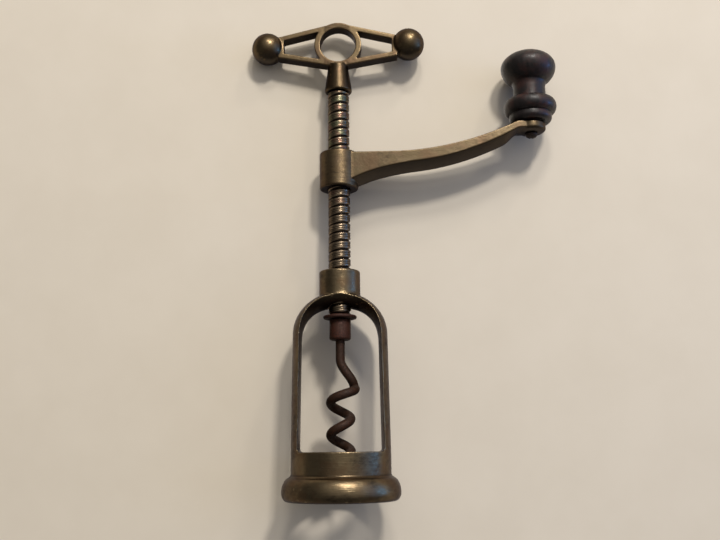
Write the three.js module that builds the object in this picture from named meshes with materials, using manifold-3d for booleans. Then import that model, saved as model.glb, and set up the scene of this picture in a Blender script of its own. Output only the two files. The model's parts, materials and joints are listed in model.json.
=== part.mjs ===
// A cage corkscrew with a T handle and a crank. The worm is screwed into the cork with the T handle.
// Then the crank, whose hub is the nut of the threaded spindle, draws the spindle up through the cage.
// Millimetres, +Z up. The cage stands on its ring, and the spindle's axis is upright.

import * as THREE from 'three';
import { mergeVertices } from 'three/addons/utils/BufferGeometryUtils.js';
import Module from 'manifold-3d';

const wasm = await Module();
wasm.setup();

// Driving sizes
const BOTTLE_BORE_RADIUS = 15; // the ring slides over a bottle's mouth, about 29.5 across
const RING_WALL = 2;
const RING_TOP = 16.2;
const COLLAR_RADIUS = 7.2;
const SPINDLE_RADIUS = 3.95;
const THREAD_LEAD = 3.22;
const HUB_RADIUS = 6.95;
const HUB_HEIGHT = 13.5;
const CRANK_RADIUS = 70;
const HANDLE_REACH = 26.1; // from the spindle's axis to a ball's centre
const BALL_RADIUS = 5.9;

// Fits
const REST_GAP = 0.3; // between two pieces that rest on each other
const RUNNING_GAP = 0.3; // on the radius of a piece that turns or slides
const CUT_OVERRUN = 2; // how far a cutting body runs past what it cuts
const EDGE = 0.4; // broken edges of turned pieces

// Rest pose: handle and crank are turned a little off the cage's own front
const REST_TURN = THREE.MathUtils.degToRad(-2.4);

// Facets
const ROUND_STEPS = 44;
const SMALL_ROUND_STEPS = 24;
const THREAD_STEPS = 14; // per turn
const WIRE_SIDES = 8;
const WORM_STEPS = 22; // per turn
const ARCH_STEPS = 24;
const WINDOW_STATIONS = 16;
const ARM_STATIONS = 22;
const SHOULDER_STEPS = 9;
const SWELL_STEPS = 5;
const BEAD_STEPS = 6;
const BULB_STEPS = 8;
const BELLY_STEPS = 6;
const EYELET_STEPS = 12;
const WINDOW_END_STEPS = 8;
const ROUNDING_STEPS = 4; // small arcs

// Where the arcs of the outlines start or end, in degrees from the side (0) to the top (90)
const FILLET_START = 255;
const FILLET_END = 180;
const BEAD_END = 60;
const BULB_START = -52;
const SCREW_HEAD_START = -60;

// Cage
const RING_RADIUS = BOTTLE_BORE_RADIUS + RING_WALL;
const FLARE_REACH = 3.2; // how far the foot stands out past the ring
const FLARE_WIDEST = 2.8; // height of its widest line
const FLARE_TOP = 7.9;
const FOOT_FLAT_REACH = 1; // the flat it stands on runs this far past the ring's radius
const FOOT_MOUTH_CHAMFER = 0.6;
const FOOT_GROOVE = 0.2; // fine line between foot and ring
const CAGE_DRAFT = 0.55; // the wall leans in this much from ring to shoulder
const WINDOW_SPRING = 53; // where the arch starts on the bars
const SHOULDER_LIFT = 3; // the outer shoulder starts this far above it
const SHOULDER_START = WINDOW_SPRING + SHOULDER_LIFT;
const SHOULDER_RISE = 15.1;
const SHOULDER_FILLET = 1.5;
const COLLAR_HEIGHT = 7.4; // above the shoulder
const COLLAR_TOP = SHOULDER_START + SHOULDER_RISE + COLLAR_HEIGHT;
const SEAT_WIDTH = 2; // inside the ring, a ledge stops the bottle's mouth
const SEAT_RADIUS = BOTTLE_BORE_RADIUS - SEAT_WIDTH;
const SEAT_HEIGHT = 12;
const CAGE_BAR_THICKNESS = 3.15; // at the sill
const WINDOW_HALF_WIDTH = RING_RADIUS - CAGE_BAR_THICKNESS;
const WINDOW_DRAFT = 0.5; // narrower by this at the spring of the arch
const ARCH_THICKNESS = 5.7; // under the collar, in the middle of the cage's depth
const ARCH_CROWN = SHOULDER_START + SHOULDER_RISE - ARCH_THICKNESS;
const WINDOW_ROUNDNESS = 2.4; // exponent of the arch, 2 is an ellipse
const WINDOW_CORNER = 1;
const ROOF_ROUND = 6.9; // radius to which the arch's underside is rounded, front to back
const BAR_ROUND = 62; // the same for the bars' inner faces

// Spindle and what hangs on it
const THREAD_DEPTH = 0.6;
const THREAD_GAP = 0.25; // between the flanks of spindle and hub
const STUB_RADIUS = 2.4; // plain ends of the spindle, in the handle's socket and the worm holder
const WASHER_RADIUS = 5.85;
const WASHER_THICKNESS = 1.5;
const WASHER_RIM = 0.8;
const WASHER_DROP = 2.3; // below the arch's crown, in the rest pose
const WASHER_TOP = ARCH_CROWN - WASHER_DROP;
const HOLDER_RADIUS = 3.75;
const HOLDER_HEIGHT = 7.2;
const HOLDER_TOP = WASHER_TOP - WASHER_THICKNESS - REST_GAP;
const HOLDER_BOTTOM = HOLDER_TOP - HOLDER_HEIGHT;
const HOLDER_EDGE = 0.9;
const STUB_IN_HOLDER = 3.4;

// Worm
const WIRE_RADIUS = 1.6;
const WORM_RADIUS = 3.45; // of the wire's centre line
const WORM_FIRST_RADIUS = 5.05; // the first bend swings out further
const WORM_PITCH = 10.9;
const WORM_FIRST_DROP = 4.6; // of the first half turn, steeper than the rest
const WORM_SWING = 8; // how soon the first bend comes into line with the shank, an exponent
const WORM_SHANK = 6.6; // straight length below the holder
const WORM_BEND = 10.3; // height from there to where the first bend is furthest out
const WORM_BEND_TOP = HOLDER_BOTTOM - WORM_SHANK;
const WORM_START = WORM_BEND_TOP - WORM_BEND;
const WORM_TIP = 6.5;
const TIP_RADIUS = 0.18;
const TIP_LENGTH = 9; // of wire that tapers, measured in height

// Crank
const HUB_LIFT = 30; // above the collar, in the rest pose
const HUB_BOTTOM = COLLAR_TOP + HUB_LIFT;
const HUB_TOP = HUB_BOTTOM + HUB_HEIGHT;
const ARM_HALF_DEPTH = 5.3;
const ARM_END_HALF_DEPTH = 4.7;
const ARM_THICKNESS = 4.3;
const ARM_END_THICKNESS = 2.5;
const ARM_ROOT_THICKNESS = 10.1;
const ARM_GUSSET = 24; // length over which the root thins down
const ARM_FLAT_END = 18.5; // the top edge is level up to here, and then climbs to the eye
const ARM_TOP_DROP = 0.8; // below the hub's top
const ARM_BELLY = 2.5; // the underside swells down this much
const ARM_END_BELLY = 0.9;
const EYE_LIFT = 6.5; // above the hub's top
const EYE_BOTTOM = HUB_TOP + EYE_LIFT;
const EYE_RADIUS = 5.2;
const EYE_RIM = 2.2; // upright part of its edge
const EYE_DOME = 1.4; // its rounded underside
const EYE_TOP = EYE_BOTTOM + EYE_DOME + EYE_RIM;
const EYE_STEP = 0.1; // the arm ends just under the eye's face

// Handle
const HANDLE_LIFT = 23.6; // of its socket above the crank's hub, in the rest pose
const SOCKET_BOTTOM = HUB_TOP + HANDLE_LIFT;
const SOCKET_HEIGHT = 10.6;
const SOCKET_TOP = SOCKET_BOTTOM + SOCKET_HEIGHT;
const SOCKET_MOUTH_RADIUS = 5;
const SOCKET_TOP_RADIUS = 3.75;
const STUB_IN_SOCKET = 8;
const EYELET_HOLE_RADIUS = 6.6;
const EYELET_WALL = 2.1;
const EYELET_SINK = 1.1; // the socket's top is sunk this deep in the eyelet's wall
const EYELET_RADIUS = EYELET_HOLE_RADIUS + EYELET_WALL;
const EYELET_HEIGHT = SOCKET_TOP - EYELET_SINK + EYELET_RADIUS;
const HANDLE_DEPTH = 5;
const LEFT_BALL_LIFT = -0.4; // from the eyelet's centre, the casting is a little uneven
const RIGHT_BALL_LIFT = 0.5;
const BAR_THICKNESS = 1.85;
const BAR_IN_BALL = 1.8;
const BAR_END = HANDLE_REACH - BALL_RADIUS + BAR_IN_BALL;
const BAR_TOP_DROP = 5.4; // fall of the upper edge from the middle to the bars' end
const BAR_BOTTOM_RISE = 4; // rise of the lower edge
const WINDOW_END_WALL = 0.2; // between each three-sided window and its ball
const WINDOW_END = HANDLE_REACH - BALL_RADIUS - WINDOW_END_WALL;
// The socket's outline between mouth and top: shares of its height, and of its narrowing
const SOCKET_WAIST_SHARES = [[0.12, 0.07], [0.5, 0.5], [0.8, 0.86]];

// Knob and its screw
const KNOB_FOOT_RADIUS = 7.65;
const KNOB_FOOT_HEIGHT = 3.2;
const KNOB_FOOT_ROUNDING = 1.7; // of its lower edge
const KNOB_BEAD_RADIUS = 9.5;
const KNOB_BEAD_HEIGHT = 5.6;
const KNOB_NECK_RADIUS = 5.85;
const KNOB_NECK_LENGTH = 3.9; // its even part
const KNOB_BULB_RADIUS = 9.95;
const KNOB_BULB_TOP_HEIGHT = 6.2; // above its widest line
const KNOB_BULB_UNDER_HEIGHT = 7.8; // below it, where the neck cuts it off
const KNOB_BULB_LIFT = 8.7; // its widest line above the even part of the neck
const SCREW_RADIUS = 1.5;
const SCREW_HEAD_RADIUS = 2.3;
const SCREW_HEAD_HEIGHT = 1.5;
const SCREW_IN_KNOB = 14;

// Thread profile from the foot of a land up to the groove's far side: shares of the lead, shares of the
// depth cut there, and the way each point moves along the axis when the profile is grown
const THREAD_PLACE_SHARES = [0, 0.35, 0.7, 0.79, 0.91];
const THREAD_CUT_SHARES = [0.15, 0, 0.15, 1, 1];
const THREAD_FLANK_SHARES = [-0.6, 0, 0.6, 0.6, -0.6];

// Materials
function finish(color, roughness, metalness) {
  return new THREE.MeshStandardMaterial({ color, roughness, metalness });
}

const agedBrass = finish(0x6b5a3c, 0.42, 1);
const darkBrass = finish(0x4e4a3c, 0.5, 1);
const agedSteel = finish(0x5a5244, 0.4, 1);
const rustyIron = finish(0x3c2018, 0.75, 0.4);
const darkSteel = finish(0x2e2422, 0.6, 0.8);
const stainedWood = finish(0x1b1310, 0.35, 0);

const FULL_TURN = 2 * Math.PI;
const mix = THREE.MathUtils.lerp;

function solid(geometry) {
  const bare = geometry.clone();
  bare.deleteAttribute('normal');
  bare.deleteAttribute('uv');
  const merged = mergeVertices(bare);
  return new wasm.Manifold(new wasm.Mesh({
    numProp: 3,
    vertProperties: new Float32Array(merged.attributes.position.array),
    triVerts: new Uint32Array(merged.index.array),
  }));
}

function geometryOf(manifold) {
  const mesh = manifold.getMesh();
  const geometry = new THREE.BufferGeometry();
  geometry.setAttribute('position', new THREE.BufferAttribute(mesh.vertProperties, 3));
  geometry.setIndex(new THREE.BufferAttribute(mesh.triVerts, 1));
  geometry.computeVertexNormals();
  return geometry;
}

function named(name, geometry, material) {
  const mesh = new THREE.Mesh(geometry, material);
  mesh.name = name;
  return mesh;
}

// A turned body about Z. The outline holds [radius, height] pairs and runs anticlockwise.
function turned(outline, steps) {
  const points = outline.map(([radius, height]) => new THREE.Vector2(radius, height));
  const first = points[0];
  const last = points[points.length - 1];
  if (first.x > 0 || last.x > 0) points.push(first.clone());
  const geometry = new THREE.LatheGeometry(points, steps);
  geometry.rotateX(Math.PI / 2);
  return geometry;
}

// A flat outline in X and Z, given depth along Y about the middle plane
function plate(shape, depth, steps) {
  const geometry = new THREE.ExtrudeGeometry(shape, { depth, bevelEnabled: false, curveSegments: steps });
  geometry.translate(0, 0, -depth / 2);
  geometry.rotateX(Math.PI / 2);
  return geometry;
}

// Rings of points joined into one closed skin, with a cap at each end
function skinned(rings) {
  const sides = rings[0].length;
  const places = rings.flat().flatMap((point) => [point.x, point.y, point.z]);
  const triangles = [];
  for (let ring = 0; ring + 1 < rings.length; ring += 1) {
    for (let side = 0; side < sides; side += 1) {
      const next = (side + 1) % sides;
      const low = ring * sides;
      const high = low + sides;
      triangles.push(low + side, low + next, high + next);
      triangles.push(low + side, high + next, high + side);
    }
  }
  for (const [ring, flip] of [[0, true], [rings.length - 1, false]]) {
    const middle = new THREE.Vector3();
    rings[ring].forEach((point) => middle.addScaledVector(point, 1 / sides));
    const centre = places.length / 3;
    places.push(middle.x, middle.y, middle.z);
    for (let side = 0; side < sides; side += 1) {
      const here = ring * sides + side;
      const next = ring * sides + (side + 1) % sides;
      triangles.push(...(flip ? [centre, next, here] : [centre, here, next]));
    }
  }
  const geometry = new THREE.BufferGeometry();
  geometry.setAttribute('position', new THREE.Float32BufferAttribute(places, 3));
  geometry.setIndex(triangles);
  return geometry;
}

// A right-hand screw about Z that reaches past `bottom` and `top`, closed by a fan at each end.
// `grow` moves its skin outwards, so that a grown screw cuts the thread of a nut.
function screw(radius, bottom, top, grow) {
  const rows = THREAD_PLACE_SHARES.length;
  const shifts = THREAD_FLANK_SHARES.map((share) => share * grow);
  const places = THREAD_PLACE_SHARES.map((share, row) => share * THREAD_LEAD + shifts[row]);
  const radii = THREAD_CUT_SHARES.map((share) => radius - share * THREAD_DEPTH + grow);
  const firstTurn = Math.floor(bottom / THREAD_LEAD) - 1;
  const turns = Math.ceil(top / THREAD_LEAD) + 1 - firstTurn;
  const columns = turns * THREAD_STEPS;
  const points = [];
  for (let column = 0; column <= columns; column += 1) {
    const angle = (column / THREAD_STEPS) * FULL_TURN;
    const foot = (firstTurn + column / THREAD_STEPS) * THREAD_LEAD;
    for (let row = 0; row < rows; row += 1) {
      points.push(radii[row] * Math.cos(angle), radii[row] * Math.sin(angle), foot + places[row]);
    }
  }
  // The row after the last is the first row one turn further on
  const at = (column, row) => (row < rows ? column * rows + row : (column + THREAD_STEPS) * rows);
  const triangles = [];
  for (let column = 0; column < columns; column += 1) {
    const closed = column + THREAD_STEPS < columns ? rows : rows - 1;
    for (let row = 0; row < closed; row += 1) {
      triangles.push(at(column, row), at(column + 1, row), at(column + 1, row + 1));
      triangles.push(at(column, row), at(column + 1, row + 1), at(column, row + 1));
    }
  }
  const lower = [];
  for (let column = 0; column <= THREAD_STEPS; column += 1) lower.push(at(column, 0));
  for (let row = rows - 1; row > 0; row -= 1) lower.push(at(0, row));
  const upper = [];
  for (let column = columns - THREAD_STEPS; column < columns; column += 1) upper.push(at(column, rows - 1));
  for (let row = rows - 1; row >= 0; row -= 1) upper.push(at(columns, row));
  const lowest = points.length / 3;
  points.push(0, 0, (firstTurn - 1) * THREAD_LEAD);
  points.push(0, 0, (firstTurn + turns + 2) * THREAD_LEAD);
  lower.forEach((point, index) => triangles.push(lowest, lower[(index + 1) % lower.length], point));
  upper.forEach((point, index) => triangles.push(lowest + 1, point, upper[(index + 1) % upper.length]));
  const geometry = new THREE.BufferGeometry();
  geometry.setAttribute('position', new THREE.Float32BufferAttribute(points, 3));
  geometry.setIndex(triangles);
  return geometry;
}

// Points of an arc of an ellipse, angles in degrees from the side (0) to the top (90)
function arc(middle, low, width, height, from, to, steps) {
  const points = [];
  for (let step = 0; step <= steps; step += 1) {
    const angle = THREE.MathUtils.degToRad(mix(from, to, step / steps));
    points.push([middle + width * Math.cos(angle), low + height * Math.sin(angle)]);
  }
  return points;
}

// The window's outline in the upright plane at `depth` from the cage's middle. It is widest and highest
// at the front and the back, which rounds the arch's underside and the bars' inner faces.
function windowOutline(depth) {
  const sill = WINDOW_HALF_WIDTH + depth ** 2 / (2 * BAR_ROUND);
  const spring = sill - WINDOW_DRAFT;
  const rise = ARCH_CROWN - WINDOW_SPRING + depth ** 2 / (2 * ROOF_ROUND);
  const half = [];
  for (let step = 0; step <= ARCH_STEPS / 2; step += 1) {
    const angle = (Math.PI * step) / ARCH_STEPS;
    const lift = Math.cos(angle) ** (2 / WINDOW_ROUNDNESS);
    half.push([spring * Math.sin(angle) ** (2 / WINDOW_ROUNDNESS), WINDOW_SPRING + rise * lift]);
  }
  const corner = [sill - WINDOW_CORNER, RING_TOP + WINDOW_CORNER, WINDOW_CORNER, WINDOW_CORNER];
  half.push(...arc(...corner, 0, -90, ROUNDING_STEPS));
  const other = half.slice(1).reverse().map(([across, height]) => [-across, height]);
  return [...half, ...other].map(([across, height]) => new THREE.Vector3(across, depth, height));
}

function frameCage() {
  const bore = SPINDLE_RADIUS + RUNNING_GAP;
  const flareRadius = RING_RADIUS + FLARE_REACH;
  const footRadius = RING_RADIUS + FOOT_FLAT_REACH;
  const outline = [[BOTTLE_BORE_RADIUS + FOOT_MOUTH_CHAMFER, 0]];
  const heelWidth = flareRadius - footRadius;
  outline.push(...arc(footRadius, FLARE_WIDEST, heelWidth, FLARE_WIDEST, -90, 0, ROUNDING_STEPS));
  const swellStart = RING_RADIUS + FOOT_GROOVE;
  const swell = [swellStart, FLARE_WIDEST, flareRadius - swellStart, FLARE_TOP - FLARE_WIDEST];
  outline.push(...arc(...swell, 0, 90, SWELL_STEPS).slice(1));
  outline.push([RING_RADIUS, FLARE_TOP + FOOT_GROOVE]);
  outline.push([RING_RADIUS, RING_TOP]);
  const shoulderRadius = RING_RADIUS - CAGE_DRAFT;
  const filletStart = COLLAR_RADIUS + SHOULDER_FILLET;
  const shoulderEnd = THREE.MathUtils.radToDeg(Math.acos(filletStart / shoulderRadius));
  const shoulder = arc(0, SHOULDER_START, shoulderRadius, SHOULDER_RISE, 0, shoulderEnd, SHOULDER_STEPS);
  outline.push(...shoulder);
  const filletMiddle = shoulder[SHOULDER_STEPS][1] + SHOULDER_FILLET;
  const fillet = [filletStart, filletMiddle, SHOULDER_FILLET, SHOULDER_FILLET];
  outline.push(...arc(...fillet, FILLET_START, FILLET_END, ROUNDING_STEPS));
  outline.push([COLLAR_RADIUS, COLLAR_TOP - EDGE]);
  outline.push([COLLAR_RADIUS - EDGE, COLLAR_TOP]);
  outline.push([bore + EDGE, COLLAR_TOP]);
  outline.push([bore, COLLAR_TOP - EDGE]);
  outline.push([bore, WINDOW_SPRING]);
  outline.push([SEAT_RADIUS, WINDOW_SPRING]);
  outline.push([SEAT_RADIUS, SEAT_HEIGHT]);
  outline.push([BOTTLE_BORE_RADIUS, SEAT_HEIGHT]);
  outline.push([BOTTLE_BORE_RADIUS, FOOT_MOUTH_CHAMFER]);
  const bell = solid(turned(outline, ROUND_STEPS));

  const reach = RING_RADIUS + CUT_OVERRUN;
  const stations = [];
  for (let station = 0; station <= WINDOW_STATIONS; station += 1) {
    stations.push(windowOutline(mix(-reach, reach, station / WINDOW_STATIONS)));
  }
  const opening = solid(skinned(stations));
  return named('frame_cage', geometryOf(bell.subtract(opening)), darkBrass);
}

function spindle() {
  const bottom = WASHER_TOP + REST_GAP;
  const top = SOCKET_BOTTOM - REST_GAP;
  const blank = turned([
    [0, bottom],
    [SPINDLE_RADIUS - EDGE, bottom],
    [SPINDLE_RADIUS + CUT_OVERRUN, bottom + EDGE + CUT_OVERRUN],
    [SPINDLE_RADIUS + CUT_OVERRUN, top - EDGE - CUT_OVERRUN],
    [SPINDLE_RADIUS - EDGE, top],
    [0, top],
  ], SMALL_ROUND_STEPS);
  const core = turned([
    [0, HOLDER_TOP - STUB_IN_HOLDER],
    [STUB_RADIUS, HOLDER_TOP - STUB_IN_HOLDER],
    [STUB_RADIUS, SOCKET_BOTTOM + STUB_IN_SOCKET],
    [0, SOCKET_BOTTOM + STUB_IN_SOCKET],
  ], SMALL_ROUND_STEPS);
  const threaded = solid(screw(SPINDLE_RADIUS, bottom, top, 0)).intersect(solid(blank));
  return named('spindle', geometryOf(threaded.add(solid(core))), agedSteel);
}

function stopWasher() {
  const bottom = WASHER_TOP - WASHER_THICKNESS;
  const hole = STUB_RADIUS + RUNNING_GAP;
  const slope = (WASHER_THICKNESS - WASHER_RIM) / 2;
  return named('stop_washer', turned([
    [hole, bottom],
    [HOLDER_RADIUS, bottom],
    [WASHER_RADIUS, bottom + slope],
    [WASHER_RADIUS, WASHER_TOP - slope],
    [HOLDER_RADIUS, WASHER_TOP],
    [hole, WASHER_TOP],
  ], SMALL_ROUND_STEPS), rustyIron);
}

function wormHolder() {
  const stubHole = STUB_RADIUS + REST_GAP;
  const stubEnd = HOLDER_TOP - STUB_IN_HOLDER - REST_GAP;
  const wireHole = WIRE_RADIUS + REST_GAP;
  const rounding = [HOLDER_RADIUS - HOLDER_EDGE, HOLDER_BOTTOM + HOLDER_EDGE, HOLDER_EDGE, HOLDER_EDGE];
  return named('worm_holder', turned([
    [wireHole, HOLDER_BOTTOM],
    ...arc(...rounding, -90, 0, ROUNDING_STEPS),
    [HOLDER_RADIUS, HOLDER_TOP],
    [stubHole, HOLDER_TOP],
    [stubHole, stubEnd],
    [wireHole, stubEnd],
  ], SMALL_ROUND_STEPS), rustyIron);
}

// The wire's centre line: straight shank, a bend that swings out, then a right-hand helix
function wormCentre(height) {
  const drop = WORM_START - height;
  const rise = Math.min(1, Math.max(0, -drop / WORM_BEND));
  const settle = THREE.MathUtils.smoothstep(drop, 0, WORM_FIRST_DROP);
  const bend = THREE.MathUtils.smoothstep(rise, 0, 1);
  const radius = mix(WORM_FIRST_RADIUS, WORM_RADIUS, settle) * (1 - bend);
  const firstTurn = Math.min(drop, WORM_FIRST_DROP) / (2 * WORM_FIRST_DROP);
  const turn = firstTurn + Math.max(0, drop - WORM_FIRST_DROP) / WORM_PITCH;
  const angle = -turn * FULL_TURN * (1 - rise) ** WORM_SWING;
  return new THREE.Vector3(radius * Math.cos(angle), radius * Math.sin(angle), height);
}

function worm() {
  const step = WORM_PITCH / WORM_STEPS;
  const shankTop = HOLDER_TOP - STUB_IN_HOLDER - 2 * REST_GAP;
  const heights = [shankTop, mix(shankTop, WORM_BEND_TOP, 0.5)];
  const count = Math.ceil((WORM_BEND_TOP - WORM_TIP) / step);
  for (let index = 0; index <= count; index += 1) {
    heights.push(mix(WORM_BEND_TOP, WORM_TIP, index / count));
  }
  const path = heights.map(wormCentre);
  let across = new THREE.Vector3(1, 0, 0);
  const rings = path.map((point, index) => {
    const before = path[Math.max(0, index - 1)];
    const after = path[Math.min(path.length - 1, index + 1)];
    const along = after.clone().sub(before).normalize();
    across = across.clone().addScaledVector(along, -across.dot(along)).normalize();
    const up = along.clone().cross(across);
    const taper = Math.min(1, (point.z - WORM_TIP) / TIP_LENGTH);
    const radius = mix(TIP_RADIUS, WIRE_RADIUS, Math.sqrt(taper));
    return Array.from({ length: WIRE_SIDES }, (unused, side) => {
      const angle = (side / WIRE_SIDES) * FULL_TURN;
      return point.clone()
        .addScaledVector(across, radius * Math.cos(angle))
        .addScaledVector(up, radius * Math.sin(angle));
    });
  });
  return named('worm', skinned(rings), darkSteel);
}

// Where the line through two points leaves the eyelet's outer circle, on the side of +X
function eyeletEnd(from, to) {
  const line = to.clone().sub(from);
  const start = from.clone().sub(new THREE.Vector2(0, EYELET_HEIGHT));
  const a = line.lengthSq();
  const b = 2 * start.dot(line);
  const c = start.lengthSq() - EYELET_RADIUS ** 2;
  const share = (-b + Math.sqrt(b * b - 4 * a * c)) / (2 * a);
  return from.clone().addScaledVector(line, share);
}

function handle() {
  const top = EYELET_HEIGHT + EYELET_RADIUS;
  const bottom = EYELET_HEIGHT - EYELET_RADIUS;
  const upperOuter = [new THREE.Vector2(0, top), new THREE.Vector2(BAR_END, top - BAR_TOP_DROP)];
  const lowerOuter = [new THREE.Vector2(0, bottom), new THREE.Vector2(BAR_END, bottom + BAR_BOTTOM_RISE)];
  const inner = (line, shift) => line.map((point) => point.clone().setY(point.y + shift));
  const upperInner = inner(upperOuter, -BAR_THICKNESS);
  const lowerInner = inner(lowerOuter, BAR_THICKNESS);

  const outline = new THREE.Shape();
  outline.moveTo(-lowerOuter[1].x, lowerOuter[1].y);
  outline.lineTo(lowerOuter[0].x, lowerOuter[0].y);
  outline.lineTo(lowerOuter[1].x, lowerOuter[1].y);
  outline.lineTo(upperOuter[1].x, upperOuter[1].y);
  outline.lineTo(upperOuter[0].x, upperOuter[0].y);
  outline.lineTo(-upperOuter[1].x, upperOuter[1].y);
  outline.closePath();

  const upperStart = eyeletEnd(...upperInner);
  const lowerStart = eyeletEnd(...lowerInner);
  const onLine = (line) => line[0].clone().lerp(line[1], WINDOW_END / BAR_END);
  const fromAngle = Math.atan2(lowerStart.y - EYELET_HEIGHT, lowerStart.x);
  const toAngle = Math.atan2(upperStart.y - EYELET_HEIGHT, upperStart.x);
  const rightWindow = new THREE.Shape();
  rightWindow.moveTo(upperStart.x, upperStart.y);
  rightWindow.absarc(0, EYELET_HEIGHT, EYELET_RADIUS, toAngle, fromAngle, true);
  rightWindow.lineTo(onLine(lowerInner).x, onLine(lowerInner).y);
  rightWindow.lineTo(onLine(upperInner).x, onLine(upperInner).y);
  rightWindow.closePath();

  const eyelet = new THREE.Shape();
  eyelet.absarc(0, EYELET_HEIGHT, EYELET_RADIUS, 0, FULL_TURN);
  const hole = new THREE.Shape();
  hole.absarc(0, EYELET_HEIGHT, EYELET_HOLE_RADIUS, 0, FULL_TURN);
  const deep = HANDLE_DEPTH + 2 * CUT_OVERRUN;
  const rightCut = solid(plate(rightWindow, deep, WINDOW_END_STEPS));
  const leftCut = rightCut.rotate([0, 0, 180]);
  const socket = turned([
    [0, SOCKET_BOTTOM],
    [SOCKET_MOUTH_RADIUS - EDGE, SOCKET_BOTTOM],
    [SOCKET_MOUTH_RADIUS, SOCKET_BOTTOM + EDGE],
    ...SOCKET_WAIST_SHARES.map(([along, narrowed]) => [
      mix(SOCKET_MOUTH_RADIUS, SOCKET_TOP_RADIUS, narrowed),
      mix(SOCKET_BOTTOM, SOCKET_TOP, along),
    ]),
    [SOCKET_TOP_RADIUS, SOCKET_TOP],
    [0, SOCKET_TOP],
  ], SMALL_ROUND_STEPS);
  const bore = turned([
    [0, SOCKET_BOTTOM - CUT_OVERRUN],
    [STUB_RADIUS + REST_GAP, SOCKET_BOTTOM - CUT_OVERRUN],
    [STUB_RADIUS + REST_GAP, SOCKET_BOTTOM + STUB_IN_SOCKET + REST_GAP],
    [0, SOCKET_BOTTOM + STUB_IN_SOCKET + REST_GAP],
  ], SMALL_ROUND_STEPS);
  let body = solid(plate(outline, HANDLE_DEPTH, 1));
  body = body.add(solid(plate(eyelet, HANDLE_DEPTH, EYELET_STEPS)));
  body = body.subtract(rightCut).subtract(leftCut).add(solid(socket));
  body = body.subtract(solid(plate(hole, deep, EYELET_STEPS)));
  for (const [across, lift] of [[-HANDLE_REACH, LEFT_BALL_LIFT], [HANDLE_REACH, RIGHT_BALL_LIFT]]) {
    const ball = new THREE.SphereGeometry(BALL_RADIUS, SMALL_ROUND_STEPS, SMALL_ROUND_STEPS / 2);
    ball.translate(across, 0, EYELET_HEIGHT + lift);
    body = body.add(solid(ball));
  }
  return named('handle', geometryOf(body.subtract(solid(bore))), agedBrass);
}

// One section of the crank's arm: flat top and sides, and an underside that swells down
function armSection(along) {
  const level = HUB_TOP - ARM_TOP_DROP;
  const eyeStart = CRANK_RADIUS - EYE_RADIUS;
  const climb = THREE.MathUtils.clamp((along - ARM_FLAT_END) / (eyeStart - ARM_FLAT_END), 0, 1);
  const top = mix(level, EYE_TOP - EYE_STEP, climb ** 2);
  const root = Math.sqrt(HUB_RADIUS ** 2 - ARM_HALF_DEPTH ** 2);
  const gone = THREE.MathUtils.clamp((along - root) / ARM_GUSSET, 0, 1);
  const far = THREE.MathUtils.clamp(along / eyeStart, 0, 1);
  const plain = mix(ARM_THICKNESS, ARM_END_THICKNESS, far ** 3);
  const crease = top - plain - (ARM_ROOT_THICKNESS - ARM_THICKNESS) * (1 - gone) ** 2;
  const halfDepth = mix(ARM_HALF_DEPTH, ARM_END_HALF_DEPTH, far);
  const flat = THREE.MathUtils.smoothstep(along, eyeStart - EYE_RADIUS, eyeStart);
  const belly = mix(ARM_BELLY, ARM_END_BELLY, flat);
  const section = [[halfDepth, top], [-halfDepth, top]];
  for (let step = 0; step <= BELLY_STEPS; step += 1) {
    const angle = Math.PI * (1 - step / BELLY_STEPS);
    section.push([halfDepth * Math.cos(angle), crease - belly * Math.sin(angle)]);
  }
  return section.map(([depth, height]) => new THREE.Vector3(along, depth, height));
}

function crank() {
  const hub = turned([
    [0, HUB_BOTTOM],
    [HUB_RADIUS - EDGE, HUB_BOTTOM],
    [HUB_RADIUS, HUB_BOTTOM + EDGE],
    [HUB_RADIUS, HUB_TOP - EDGE],
    [HUB_RADIUS - EDGE, HUB_TOP],
    [0, HUB_TOP],
  ], ROUND_STEPS);
  const underside = [SCREW_HEAD_RADIUS, EYE_BOTTOM + EYE_DOME, EYE_RADIUS - SCREW_HEAD_RADIUS, EYE_DOME];
  const eye = turned([
    [0, EYE_BOTTOM],
    ...arc(...underside, -90, 0, ROUNDING_STEPS),
    [EYE_RADIUS, EYE_TOP - EDGE],
    [EYE_RADIUS - EDGE, EYE_TOP],
    [0, EYE_TOP],
  ], SMALL_ROUND_STEPS);
  const hole = turned([
    [0, EYE_BOTTOM - CUT_OVERRUN],
    [SCREW_RADIUS + RUNNING_GAP, EYE_BOTTOM - CUT_OVERRUN],
    [SCREW_RADIUS + RUNNING_GAP, EYE_TOP + CUT_OVERRUN],
    [0, EYE_TOP + CUT_OVERRUN],
  ], SMALL_ROUND_STEPS);
  const rings = [];
  for (let station = 0; station <= ARM_STATIONS; station += 1) {
    rings.push(armSection(mix(HUB_RADIUS - SPINDLE_RADIUS, CRANK_RADIUS, station / ARM_STATIONS)));
  }
  const body = solid(hub)
    .add(solid(skinned(rings)))
    .add(solid(eye.translate(CRANK_RADIUS, 0, 0)))
    .subtract(solid(hole.translate(CRANK_RADIUS, 0, 0)))
    .subtract(solid(screw(SPINDLE_RADIUS, HUB_BOTTOM, HUB_TOP, THREAD_GAP)));
  return named('crank', geometryOf(body), agedBrass);
}

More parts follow.
